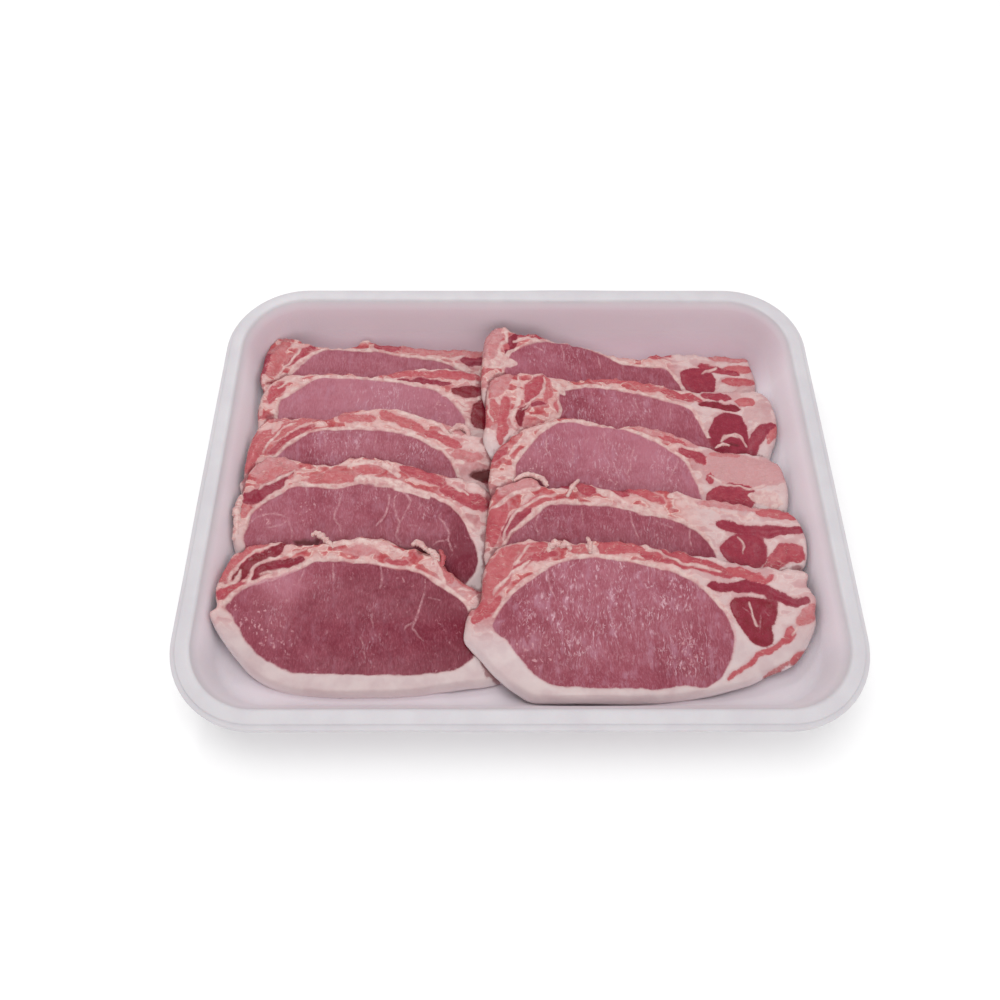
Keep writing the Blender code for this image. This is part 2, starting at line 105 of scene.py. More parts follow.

# Cut faces. "outline" runs from the left tip over the rib side to the right end, and on
# round the fat cap where that shows. "eye" is the big muscle. A tone is 0 for pale to 1 for
# dark; above 1 it is painted shadow in a gap. "tones" are spots of the eye: x,y,tone.
# "muscles" are closed outlines after their tone. "strips" are lines after their tone and
# width, "seams" and "veins" after their width, and so are the lines of painted shade in open
# pockets and holes. "combs" and "flecks" are spots of streaks and dots: x,y,radius.
SLICES = {
    "slice_left_1": dict(
        outline="3,38 0,46 0,56 0,64 3,72 8,76 18,74 31,72 46,73 49,77 54,79 59,76 70,74 88,72 115,72 "
            "140,71 154,58",
        eye="24,64 32,69 45,70 60,69 73,66 92,63 104,58 112,45 108,28 92,14 65,8 38,12 20,25 14,42 17,56",
        tones="60,65,0.3",
        # the first strip, dark red down the left end, is painted shade where the slice's left side falls
        # away
        strips="0.75 4 0,42 1,54 2,64; 0.2 6 5,50 8,64 12,73; 0.6 3 12,57 18,64 25,70; 0.45 2.6 17,55 "
            "22,62 27,66; 0.6 4.5 58,74 71,72; 0.15 4 73,71 92,69 116,68; 0.85 4.5 106,63 119,64",
        seams="1.2 9,50 14,60 20,71; 1.1 14,50 20,60 28,68; 3 44,74 50,77 57,77"),
    "slice_left_2": dict(
        outline="-1,34 0,43 -1,52 0,61 3,67 10,73 19,76 29,77 43,77 56,75 71,79 87,81 103,80 116,77 "
            "138,76 150,62",
        eye="10,50 12,58 20,66 29,73 43,73 57,72 72,70 88,66 96,62 101,56 105,50 107,42 104,28 90,14 65,8 "
            "38,11 20,22 12,36",
        tones="60,60,0.02 20,58,0.1 98,50,0.15",
        strips="0.45 4 6,57 9,63 13,67; 0.4 3 62,75 80,76 103,74; 0.85 2 72,71 85,71 97,69; 0.45 4 88,77 "
            "100,77 114,74",
        muscles="0.98 99,66 106,68 113,67 117,65 109,61 103,62; 1 110,51 112,57 119,60 119,44 113,43 "
            "110,46",
        combs="66,60,18",
        flecks="96,54,8",
        seams="3.4 1,50 1,60 4,69; 1.2 10,65 20,74 30,76; 2.2 79,80 103,79; 2 95,63 103,60 108,55; 2 "
            "108,58 112,60 118,62",
        veins="0.5 46,70 47,62; 0.5 70,68 72,60"),
    "slice_left_3": dict(
        outline="0,34 2,39 1,55 4,67 11,74 26,75 39,73 49,77 64,79 77,78 90,74 102,69 117,62 135,58 150,46",
        eye="19,55 25,60 32,64 47,65 62,65 77,63 86,60 93,56 100,51 106,41 107,28 98,14 70,7 40,9 22,20 "
            "14,34 13,46",
        tones="60,50,0.35 25,50,0.4 95,45,0.5",
        strips="0.32 6.5 4,42 6,56 11,66; 0.25 4 14,62 22,69 33,73; 0.6 2.4 13,53 21,62 33,68; 0.25 4 "
            "46,72 64,72; 0.3 4.4 68,76 78,71 88,65; 0.42 3.8 90,64 98,60 108,55; 0.15 4 104,51 118,50",
        # the darkest muscle and the pocket line here are painted shadow in a gap beneath the slices
        muscles="1.22 114,41 117,43 123,44 124,39 118,39",
        pocket_shades="4.6 113,42 125,42",
        combs="45,58,16 85,55,10",
        seams="1.2 9,54 14,63 24,71; 2.2 74,78 90,71 108,60; 1.6 96,64 104,62; 2.6 104,47 109,47",
        veins="0.5 40,62 41,52; 0.5 66,62 65,54; 0.5 52,62 53,58"),
    "slice_left_4": dict(
        outline="0,34 0,45 2,61 3,70 7,77 18,81 31,77 46,75 56,79 73,77 92,72 107,68 120,63 138,55 151,42",
        eye="7,43 9,51 18,59 27,64 34,63 45,62 54,63 64,64 82,61.5 99,55 108,48 112,40 116,30 113,20 98,9 "
            "70,5 42,6 22,14 10,26 6,35",
        tones="20,50,0.35 50,55,0.42 85,48,0.45 96,44,0.45 104,46,0.85 106,38,0.95 111,32,1",
        strips="0.1 5 7,71 16,77 28,73; 0.2 3 9,65 17,71 26,69; 0.85 6 4,55 12,60 21,67; 0.9 2.6 18,68 "
            "26,71; 0.25 6 34,66 45,67 55,66; 0.3 3.2 57,70 69,70; 0.5 5 78,72 88,69 100,64; 0.55 7 99,61 "
            "110,58 121,54; 0.3 2.6 58,72 61,71 65,70",
        pocket_shades="3 29,37 34,35 41,36; 3.4 78,33 84,31 92,31 98,29",
        flecks="33,52,7 12,48,6",
        combs="45,60,10 60,60,10 90,50,8",
        seams="1.3 8,52 16,59 25,67; 1.2 10,62 18,68 27,72; 4 57,66 74,64 92,57; 1.2 92,60 106,52 115,42; "
            "3 53,72 62,75 70,73 77,67; 1.4 102,64 112,60",
        veins="1 73,59 73,55 72,50 70,47 67,44; 1 79,60 76,57 76,51 78,46 78,42 77,39 79,36 79,32; 1 "
            "79,60 82,58 83,54 81,50 79,46; 1 98,50 97,48 100,45 102,41 102,37 104,31; 0.7 89,54 87,51; "
            "0.7 90,50 90,47; 0.6 82,44 87,44; 0.7 102,37 97,36 94,34; 0.9 50,58 49,54 47,49 48,46 50,44 "
            "51,39; 0.8 53,66 53,61; 0.7 7,44 12,49 18,50 24,49; 0.6 14,43 21,45 24,47 25,49; 0.6 25,47 "
            "27,42 27,38; 0.7 32,67 33,60"),
    "slice_left_5": dict(
        outline="0,34 3,37 1,45 2,55 4,62 7,66 13,70 22,71 31,71 36,69 46,69 54,72 68,73 76,72 83,69 "
            "91,67 101,63 107,56 117,50 130,44 146,34 150,22 142,11 126,6 105,3 86,0.5 55,0 37,2 25,6 "
            "17,11 11,17 6,23 2,29",
        eye="7,37 9,41 13,47 23,53 37,58 46,61 60,60 76,58 92,55 104,48 111,43 115,38 120,28 117,18 "
            "111,13 103,11 85,10 59,10 41,11 34,12 23,17 18,21 13,28 9,34",
        tones="27,52,0.1 20,38,0.6 45,35,0.72 70,40,0.78 80,22,0.75 100,30,0.85 112,26,1",
        strips="0.3 5 3,50 6,58 12,65 21,69; 0.5 4.6 4,41 7,46 12,49; 0.98 5 9,49 11,56 18,62 28,69; 0.92 "
            "4.4 16,53 25,59 37,62; 0.1 2 57,65 63,66 72,64; 0.5 2.2 77,61 87,59; 0.2 4 99,64 103,58 "
            "106,52; 0.2 6 107,60 113,54 120,49",
        pocket_shades="1.4 91,67 96,63",
        flecks="21,31,11 12,36,7 30,25,8",
        combs="29,38,6 71,36,6 69,22,8 48,50,8 24,52,7",
        seams="1.3 14,50 16,57 25,63 39,67; 1.1 6,49 9,59 17,66 25,70; 0.9 19,54 27,57 38,61; 1.6 3,46 "
            "9,50 10,56; 2 97,66 101,58 104,50; 3.6 48,68.5 56,69.5 65,70.5 75,68 86,63",
        veins="0.9 52,60 53,52; 0.7 39,59 36,50; 0.9 74,59 75,53 74,48; 0.8 95,54 94,43 91,34 90,30 "
            "95,25; 1.6 13,48 24,53 36,58; 0.7 91,34 86,30; 0.6 71,37 71,34 72,31; 0.5 66,27 68,22 69,17; "
            "0.5 84,54 85,51; 0.6 96,44 102,43"),
    "slice_right_1": dict(
        outline="0,36 0,57 1,70 3,76 8,80 13,80 18,77 26,78 39,76 56,74 64,72 75,69 86,68 94,70 102,71 "
            "122,71 143,69 146,61 147,49",
        eye="15,61 20,66 26,70 32,73 42,74 51,74 59,72 64,70 75,64 88,61 96,61 100,59 103,54 106,48 "
            "108,36 104,22 92,12 65,6 40,8 22,18 13,34 12,50",
        tones="30,65,0.3 60,68,0.45 97,58,0.5",
        muscles="0.8 108,58 112,60 120,61 123,59 125,55 125,50 123,46 116,44 110,46 107,53",
        strips="0.08 8 4,57 5,68 9,77; 0.35 2.6 12,71 15,62; 0.9 4 14,62 16,70 19,76; 0.6 4.6 20,74 26,76 "
            "33,76; 0.4 3 89,68 102,69; 0.15 4 124,68 134,68 145,67; 0.7 3.4 118,63 128,60 138,58; 0.3 3 "
            "133,61 146,60; 0.4 5 130,53 146,51",
        combs="30,64,10 50,66,10",
        seams="6 3,53 10,55 18,56; 1.5 11,79 14,72 9,64 12,57; 1.6 17,70 24,73 33,74; 1.4 119,58 127,62",
        veins="0.8 43,74 45,62 47,57; 0.8 63,69 64,60; 0.6 76,64 76,58; 1.2 29,69 33,67"),
    "slice_right_2": dict(
        outline="0,34 1,45 1,55 2,66 5,73 15,76 29,76 38,74 45,74 62,79 77,78 93,74 108,71 125,72 143,72 "
            "149,68 151,59 151,45 147,34",
        eye="39,62 46,68 56,71 67,70 82,67 97,62 104,60 108,57 112,47 115,37 116,31 112,20 98,10 70,5 "
            "48,8 36,18 31,32 36,44 40,52",
        tones="46,60,0.55 65,62,0.32 90,56,0.28 108,46,0.42",
        muscles="0.85 116,46 120,53 126,57 133,55 135,46 134,32 127,29 112,31 113,38",
        combs="52,56,12 62,58,12 78,58,10",
        strips="0.28 8 3,42 4,58; 0.12 8 5,62 12,72; 0.4 4 9,33 10,46 12,59; 0.95 3 19,42 19,50 22,55; "
            "0.55 7 22,58 26,66 31,72; 0.3 3 33,71 34,64 32,57; 0.8 3 24,55 31,56; 0.3 2.6 38,60 38,51; "
            "0.35 4 57,76 74,76 89,73; 0.25 3 81,72 96,69; 0.5 4 92,69 103,67 114,65; 0.7 3.6 115,68 "
            "130,67; 0.95 3.6 113,63 123,62 133,60; 0.3 4 132,65 141,63; 0.8 7 136,32 139,41 144,46 "
            "149,48; 0.25 3 146,38 150,47",
        seams="4 36,47 25,39 14,31; 1.6 18,73 18,60 15,48 16,40; 1.3 32,72 31,64 25,59 20,52; 1.1 2,70 "
            "2,58 5,44; 1.6 121,39 125,43 131,42 134,37; 1.3 100,70 116,66; 4 37,69 41,64",
        pocket_shades="1.6 125,38 130,37",
        veins="0.6 56,69 57,60; 0.6 78,66 80,58; 0.5 97,60 96,50"),
    "slice_right_3": dict(
        outline="0,40 0,48 3,60 10,66 20,73 35,79 51,79 66,77 76,78 90,74 100,69 113,65 128,64 143,60 "
            "147,48 146,33",
        eye="13,49 15,55 23,64 30,71 39,76 53,76 68,74 83,67 91,61 97,56 101,48 103,42 104,28 95,14 70,6 "
            "42,8 24,18 14,34",
        tones="50,65,0.02 25,58,0.2 22,46,0.5 80,58,0.02 95,48,0.2 60,46,0.25",
        muscles="0.72 107,40 113,45 122,47 129,46 131,39 124,32 112,32 107,36; -0.1 108,59 116,61 129,61 "
            "139,59 146,57 146,49 134,46 123,47 113,50 107,52",
        strips="0.5 3 2,55 9,61; 0.65 4 95,62 102,60 108,55; 0.6 3 109,52 108,47; 0.1 5 74,75 90,72 "
            "106,66; 0.16 2.2 110,60 118,62 126,62; 0.45 2.4 85,71 99,66; 0.5 2.4 125,60 132,57",
        combs="35,60,14 60,58,14 88,52,12",
        flecks="20,50,8 60,46,8",
        seams="8 130,41 142,37; 2 10,57 18,66 30,74; 1.6 94,65 106,62; 1.2 108,50 122,45 136,46",
        veins="0.8 29,66 28,60 30,56; 0.6 41,66 41,54; 0.8 72,65 70,55 68,50; 0.7 93,57 88,46; 0.5 57,72 "
            "58,62; 0.6 62,55 64,47"),
    "slice_right_4": dict(
        outline="0,33 0,40 1,52 4,66 12,71 22,73 29,68 34,67 40,70 46,71 60,69 75,70 94,68 109,65 133,62 "
            "147,58 151,47 151,33",
        eye="12,43 17,48 26,55 31,58 45,59 67,59 84,55 98,50 106,43 109,36 108,24 98,12 70,5 42,6 24,14 "
            "13,26 9,36",
        tones="25,48,0.52 55,50,0.45 85,48,0.48 102,42,0.62",
        muscles="0.8 112,39 115,44 123,48 130,47 133,41 132,34 126,30 117,32",
        combs="30,50,14 84,52,12 60,56,10",
        strips="0.09 6 8,65 15,69 27,69; 0.42 7 3,41 5,52 10,59; 0.75 5 10,43 14,51 22,57; 0.35 4 19,58 "
            "30,61; 0.8 2.6 35,68 41,68; 0.55 4 44,68 53,66; 0.6 3.6 61,69 69,66; 0.4 4 70,69 78,66 "
            "86,62; 0.08 4 102,62 118,62 134,60; 0.4 4.4 132,58 142,57 150,54; 0.8 5 111,52 129,49 "
            "150,47; 0.55 8 133,29 140,37 148,34",
        seams="1.4 9,43 13,53 23,60 33,63; 2 4,58 14,64 26,66; 3.6 54,67 60,65 68,60 84,56; 1.3 95,63 "
            "112,58 130,55; 0.6 121,46 123,42 122,38; 4 89,65 100,66 107,65",
        pocket_shades="1.4 36,69 41,69; 1.4 62,71 68,67",
        veins="0.8 26,55 24,49 26,45; 0.8 69,58 71,50 74,44; 0.7 98,50 97,45 98,40; 0.5 82,53 90,50; 0.5 "
            "46,58 47,50"),
    "slice_right_5": dict(
        outline="0,30 2,40 7,46 8,55 9,61 12,67 19,73 28,75 33,74 40,74 46,75 51,73 58,74 71,75 79,74 "
            "88,72 96,71 105,69 121,66 137,64 151,62 159,60 157,53 160,47 159,41 159,35 155,27 148,19 "
            "136,14 127,10 113,6 98,3 82,1 67,0 50,0 38,0.5 29,2 21,7 13,14 7,21 3,25",
        eye="13,34 17,42 22,48 30,55 37,60 44,63 52,65 62,66 72,65 81,63 99,58 110,51 117,44 121,36 "
            "121,27 118,18 111,10 104,8 98,9 90,7 81,6 59,6 42,7 35,10 29,15 24,22 19,29",
        tones="25,35,0.5 40,15,0.55 45,40,0.4 60,60,0.2 85,55,0.3 70,30,0.4 100,50,0.4 112,30,0.5 "
            "90,14,0.5",
        muscles="0.3 9,48 9,56 14,65 18,70 28,71 23,66 21,59 20,53 14,49; 0.92 122,45 124,48 130,49 "
            "136,48 142,47 142,43 141,38 139,35 139,31 138,28 134,27 130,29 127,33 124,38; 0.4 144,28 "
            "147,29 149,32 148,35 146,33; 0.15 151,36 152,40 155,43 159,43 158,39 156,36; 0.25 146,19 "
            "148,22 152,24 156,26 154,23 150,20",
        strips="0.4 4 5,37 9,45; 0.4 3.4 10,39 16,47; 0.35 4 28,69 34,71 40,70; 0.3 4 49,70 58,70; 0.4 6 "
            "61,71 72,72 83,71; 0.5 6 83,68 95,66 104,64 123,59; 0.4 4 121,61 138,58; 0.86 4 112,54 "
            "124,53 134,54 142,50 148,47 155,45; 0.35 0.7 117,11 122,16 128,20; 0.4 1.6 126,19 132,22 "
            "139,26 144,29; 0.15 1 135,14 146,19; 0.4 1.6 126,60 133,61; 0.4 1.6 137,56 142,59; 0.5 2 "
            "22,60 32,65 42,67",
        combs="62,52,26 88,50,20 40,44,16 98,26,14 50,30,14",
        flecks="24,32,8 34,22,9 98,22,9",
        seams="1.4 13,49 21,57 30,64; 1.2 22,62 26,67 30,71; 3.4 57,72 61,68; 1.6 80,75 90,68; 1.3 84,70 "
            "100,64 118,60; 1.1 130,47 131,40 134,36; 0.8 148,31 151,36",
        veins="0.9 38,60 39,53 41,47; 1 121,24 122,36 118,44; 0.5 60,55 61,48; 0.4 127,44 131,40; 0.4 "
            "134,34 135,41; 0.3 136,44 139,40"),
}
# How strong the flecks, and the threads with the painted sheen, in the eye of a slice are.
LOOKS = {"slice_left_5": (0.5, 0.5), "slice_right_5": (0.4, 1.2), "slice_right_4": (0.4, 0.5),
         "slice_left_2": (0.4, 0.95), "slice_left_3": (0.4, 0.95), "slice_right_3": (0.4, 0.85),
         "slice_right_2": (0.4, 0.8)}
PLAIN_LOOK = (0.4, 0.6)
# Loose bits on a slice: the slice, radius, how red, and x,y,rise points above its face.
SCRAPS = (
    ("slice_left_5", 1.6, 0.0, "52,67,-1.2 49,70,-0.4 46,73,0.2 43,74.5,0.4 41,73.5,0"),
    ("slice_left_5", 1.7, 0.0, "88,69,-0.9 91,70,0 95,67,-0.4"),
    ("slice_left_5", 1.6, 0.0, "95,67,-0.6 98,65,0 101,61,-0.6"),
    ("slice_left_5", 1.3, 1.0, "101,67,-0.5 103,63,0 102,58,-0.5"),
    ("slice_right_5", 1.7, 0.0, "38,68,-1 41,72,-0.3 44,71,-0.8"),
    ("slice_right_5", 1.6, 0.0, "44,70,-0.8 47,72,-0.3 49,69,-1"),
    ("slice_right_5", 1.3, 0.0, "57,76,-0.6 58,72,0 58,68,-0.8"),
    ("slice_right_4", 1.1, 0.0, "39,62,-0.4 42,67,0.5 45,71,0.2"),
    ("slice_right_4", 1.4, 0.0, "14,71,-0.9 20,74,-0.5 26,72,-0.5 30,67,-1"),
    ("slice_right_3", 0.8, 0.0, "113,65,-0.7 117,67.5,-0.2 121,67.5,-0.6"),
    ("slice_left_3", 1.9, 0.3, "102,64,-0.9 106,67,-0.4 110,66,-0.4 112,61,-1"),
    ("slice_left_4", 2.2, 0.0, "2,59,-1.4 1,51,-1 2,44,-1.2 1,36,-1.6"),
)
NOISE_SEED = 11


# ---- small helpers -------------------------------------------------------------------
def points(text):
    return np.array([[float(number) for number in pair.split(",")] for pair in text.split()])


def listed(parts, key):
    return [text for text in parts.get(key, "").split("; ") if text]


def through(anchors, closed, steps=8):
    """Points on the Catmull-Rom curve through the anchors."""
    count = len(anchors)
    if closed:
        spans, pick = count, lambda i: anchors[i % count]
    else:
        spans, pick = count - 1, lambda i: anchors[min(max(i, 0), count - 1)]
    found = []
    for i in range(spans):
        a, b, c, d = (pick(i + shift) for shift in (-1, 0, 1, 2))
        for t in np.arange(steps) / steps:
            found.append(0.5 * (2 * b + (c - a) * t + (2 * a - 5 * b + 4 * c - d) * t ** 2
                                + (3 * b - a - 3 * c + d) * t ** 3))
    if not closed:
        found.append(anchors[-1])
    return np.array(found)


def evenly(curve, step):
    """Evenly spaced points round a closed curve."""
    closed = np.vstack((curve, curve[:1]))
    lengths = np.r_[0.0, np.cumsum(np.hypot(*np.diff(closed, axis=0).T))]
    places = np.linspace(0.0, lengths[-1], int(lengths[-1] / step), endpoint=False)
    return np.c_[np.interp(places, lengths, closed[:, 0]), np.interp(places, lengths, closed[:, 1])]


def area(outline):
    x, y = outline.T
    return 0.5 * np.sum(x * np.roll(y, -1) - y * np.roll(x, -1))


def inwards(outline):
    """Unit normals that point into a counterclockwise outline."""
    along = np.roll(outline, -1, axis=0) - np.roll(outline, 1, axis=0)
    along /= np.hypot(along[:, 0], along[:, 1])[:, None]
    return np.c_[-along[:, 1], along[:, 0]]


def to_segments(places, start, end):
    """For every place, the distance to the nearest segment, which one, and how far along it."""
    nearest = np.full(len(places), 1e9)
    which = np.zeros(len(places), int)
    share = np.zeros(len(places))
    for index, (a, b) in enumerate(zip(start, end)):
        side = b - a
        t = np.clip(((places - a) @ side) / max(side @ side, 1e-12), 0.0, 1.0)
        gap = np.hypot(*(places - a - t[:, None] * side).T)
        closer = gap < nearest
        nearest[closer], which[closer], share[closer] = gap[closer], index, t[closer]
    return nearest, which, share


def inside(outline, places):
    x, y = places.T
    result = np.zeros(len(places), bool)
    for (x0, y0), (x1, y1) in zip(outline, np.roll(outline, -1, axis=0)):
        if y0 != y1:
            result ^= ((y0 > y) != (y1 > y)) & (x < x0 + (y - y0) * (x1 - x0) / (y1 - y0))
    return result


def near_to(shape, places, margin):
    """Which places lie within the shape's box and a margin round it."""
    low, high = shape.min(axis=0) - margin, shape.max(axis=0) + margin
    return ((places > low) & (places < high)).all(axis=1)


def depth_in(outline, places, reach=6.0):
    """Signed distance to a closed outline, positive inside it, kept within the reach."""
    found = np.full(len(places), -reach)
    near = near_to(outline, places, reach)
    gap, _, _ = to_segments(places[near], outline, np.roll(outline, -1, axis=0))
    within = inside(outline, places[near])
    found[near] = np.clip(np.where(within, gap, -gap), -reach, reach)
    return found


def depth_in_line(line, width, places, ends=0.25):
    """The same for a line that narrows to a share of its width at both ends."""
    found = np.full(len(places), -REACH)
    near = near_to(line, places, REACH + width)
    gap, which, share = to_segments(places[near], line[:-1], line[1:])
    along = (which + share) / (len(line) - 1)
    profile = ends + (1.0 - ends) * np.sqrt(np.clip(np.sin(np.pi * along), 0.0, 1.0))
    found[near] = np.clip(0.5 * width * profile - gap, -REACH, REACH)
    return found


def smooth(values, low, high):
    t = np.clip((values - low) / (high - low), 0.0, 1.0)
    return t * t * (3.0 - 2.0 * t)


class Noise:
    """Smooth value noise in the plane, from -1 to 1, for one feature size."""
    CELLS = 64

    def __init__(self, seed, size):
        self.values = np.random.default_rng(seed).uniform(-1.0, 1.0, (self.CELLS, self.CELLS))
        self.size = size

    def __call__(self, places):
        at = places / self.size + 17.3
        cell = np.floor(at).astype(int)
        u, v = smooth(at - cell, 0.0, 1.0).T
        c, r = (cell % self.CELLS).T
        c1, r1 = (c + 1) % self.CELLS, (r + 1) % self.CELLS
        value = self.values
        return ((value[r, c] * (1 - u) + value[r, c1] * u) * (1 - v)
                + (value[r1, c] * (1 - u) + value[r1, c1] * u) * v)


# ---- nodes of a material -------------------------------------------------------------
class Value:
    """The output of a shader node, with plain arithmetic."""

    def __init__(self, nodes, socket):
        self.nodes, self.socket = nodes, socket

    def __add__(self, other):
        return self.nodes.math("ADD", self, other)

    def __sub__(self, other):
        return self.nodes.math("SUBTRACT", self, other)

    def __rsub__(self, other):
        return self.nodes.math("SUBTRACT", other, self)

    def __mul__(self, other):
        return self.nodes.math("MULTIPLY", self, other)

    def __abs__(self):
        return self.nodes.math("ABSOLUTE", self)


class Nodes:
    """Short calls for the nodes of one material."""

    def __init__(self, name):
        self.material = bpy.data.materials.new(name)
        self.material.use_nodes = True
        self.tree = self.material.node_tree
        self.shader = self.tree.nodes["Principled BSDF"]
        self.at = self.new("TexCoord", "Object")

    def new(self, kind, output, inputs=(), **settings):
        """The output of a new node; inputs are pairs of place or name and value."""
        node = self.tree.nodes.new("ShaderNode" + kind)
        for key, value in settings.items():
            setattr(node, key, value)
        for key, value in dict(inputs).items():
            self.join(value, node.inputs[key])
        return Value(self, node.outputs[output])

    def join(self, value, socket):
        if isinstance(value, Value):
            self.tree.links.new(value.socket, socket)
        elif isinstance(value, tuple) and socket.type == "RGBA":
            socket.default_value = (*value, 1.0)
        else:
            socket.default_value = value

    def math(self, operation, *inputs):
        return self.new("Math", 0, enumerate(inputs), operation=operation)

    def most(self, first, second):
        return self.math("MAXIMUM", first, second)

    def attribute(self, name):
        return self.new("Attribute", "Fac", attribute_name=name)

    def ease(self, value, low, high, to_low=0.0, to_high=1.0):
        inputs = enumerate((value, low, high, to_low, to_high))
        return self.new("MapRange", 0, inputs, interpolation_type="SMOOTHSTEP")

    def mix(self, factor, first, second):
        return self.new("Mix", 2, {0: factor, 6: first, 7: second}, data_type="RGBA")

    def stretched(self, scale, turn=0.0, push=0.0, size=8.0):
        """Scaled positions, pushed about first by noise of one size."""
        swirl = self.new("TexNoise", "Color", {"Scale": 1.0 / (size * MM), "Vector": self.at})
        inputs = enumerate((swirl, (push * MM,) * 3, self.at))
        moved = self.new("VectorMath", 0, inputs, operation="MULTIPLY_ADD")
        inputs = {"Scale": scale, "Rotation": (0.0, 0.0, turn), "Vector": moved}
        return self.new("Mapping", 0, inputs)

    def noise(self, size, detail=2.0, rough=0.5, vector=None, warp=0.0):
        inputs = {"Scale": 1.0 / (size * MM), "Detail": detail, "Roughness": rough,
                  "Distortion": warp, "Vector": vector or self.at}
        return self.new("TexNoise", "Fac", inputs)

    def cells(self, size, vector=None):
        inputs = {"Scale": 1.0 / (size * MM), "Vector": vector or self.at}
        return self.new("TexVoronoi", "Distance", inputs)

    def ramp(self, value, stops):
        colours = self.new("ValToRGB", "Color", {"Fac": value})
        elements = colours.socket.node.color_ramp.elements
        while len(elements) < len(stops):
            elements.new(0.5)
        for element, (place, colour) in zip(elements, stops):
            element.position = place
            element.color = (*colour, 1.0)
        return colours

    def bump(self, height, strength, distance):
        inputs = {"Strength": strength, "Distance": distance * MM, "Height": height}
        return self.new("Bump", 0, inputs)

    def set(self, **values):
        for key, value in values.items():
            self.join(value, self.shader.inputs[key.replace("_", " ")])


LIGHT = 1.22                # brightness of a white surface on the tray
GLARE = 0.02                # and what the wet gloss adds to every colour


def seen(red, green, blue):
    """Linear surface colour of what shows as this 8-bit colour in the soft light."""
    shown = [((channel / 255.0 + 0.055) / 1.055) ** 2.4 for channel in (red, green, blue)]
    return tuple(max((channel - GLARE) / LIGHT, 0.004) for channel in shown)


EYE_TONES = ((0.0, seen(184, 114, 129)), (0.45, seen(160, 84, 98)), (1.0, seen(124, 44, 60)))
LEAN_TONES = ((0.0, seen(208, 156, 158)), (0.15, seen(198, 112, 115)), (0.3, seen(190, 90, 98)),
              (0.45, seen(172, 72, 85)), (0.6, seen(151, 58, 74)), (0.76, seen(126, 32, 49)),
              (1.0, seen(76, 14, 26)))
LEAN_SPAN = 1.4             # the tone at the end of LEAN_TONES; tones past 1 are painted shadow in a gap
# torn fat on the rib side, from its hollows over the pale ridges to the flats between them
RIB_TONES = ((0.0, seen(184, 80, 86)), (0.26, seen(200, 106, 107)), (0.42, seen(211, 134, 132)),
             (0.52, seen(233, 198, 190)), (0.64, seen(213, 151, 148)), (1.0, seen(222, 180, 176)))
CAP_FAT = (seen(224, 204, 203), seen(214, 190, 191))
# painted light for the rounded side of the fat cap
CAP_PAINTED_LIGHT = (0.90, 0.80, 0.80)
BLED_FAT = seen(206, 146, 148)
MEMBRANE = (seen(230, 200, 194), seen(211, 158, 158))
# painted sheen: mauve reflected light on the eye
SHEEN = seen(190, 134, 152)
STROKE = seen(216, 168, 180)
THREAD = seen(218, 174, 183)
SPECK = seen(204, 146, 154)
BUNDLE = seen(212, 138, 136)
STRAND = seen(230, 184, 178)
VEIN = seen(214, 162, 168)
# painted shade, with some pooled juice, under the edge of the next slice
SHADE_AND_JUICE_RED = seen(128, 40, 56)
# painted shade in open pockets and holes
POCKET_SHADE = seen(92, 22, 36)


